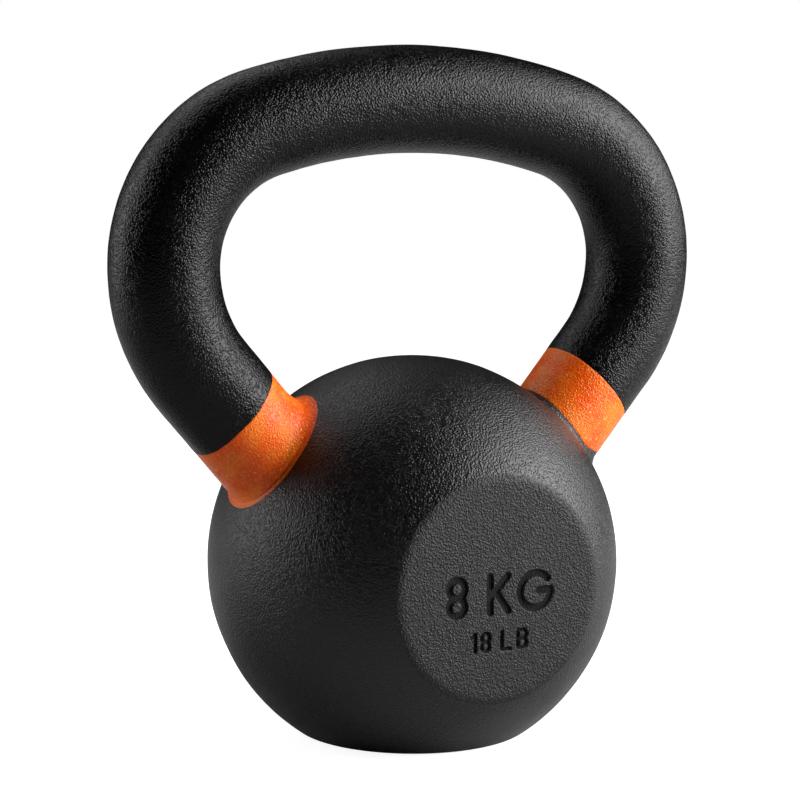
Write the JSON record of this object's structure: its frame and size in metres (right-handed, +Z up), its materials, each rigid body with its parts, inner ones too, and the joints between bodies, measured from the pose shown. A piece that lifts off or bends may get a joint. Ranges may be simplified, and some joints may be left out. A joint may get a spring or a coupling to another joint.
{
  "type": "kettlebell",
  "caption": "Cast iron kettlebell with a flat foot, flat faces with a sunk weight mark, and a bent bar handle with a coloured band round each horn.",
  "frame": {"origin": "centre of the flat foot, on the floor", "axes": "+Z up, X across the handle, -Y out of the front face"},
  "size_m": [0.1866, 0.104, 0.2007],
  "materials": {
    "ball_coat": "matte black powder coat with a fine sandy grain",
    "handle_coat": "semi-gloss black powder coat with a coarse leathery grain",
    "enamel": "satin orange enamel over the grain",
    "charge": "resin-bonded iron shot",
    "plug": "black coated steel"
  },
  "bodies": {
    "root": {"bell": "ball_coat", "handle": "handle_coat", "root_weld_left": "enamel", "root_weld_right": "handle_coat", "band_left": "enamel", "band_right": "enamel", "trim_charge": "charge", "base_plug": "plug"}
  },
  "joints": []
}
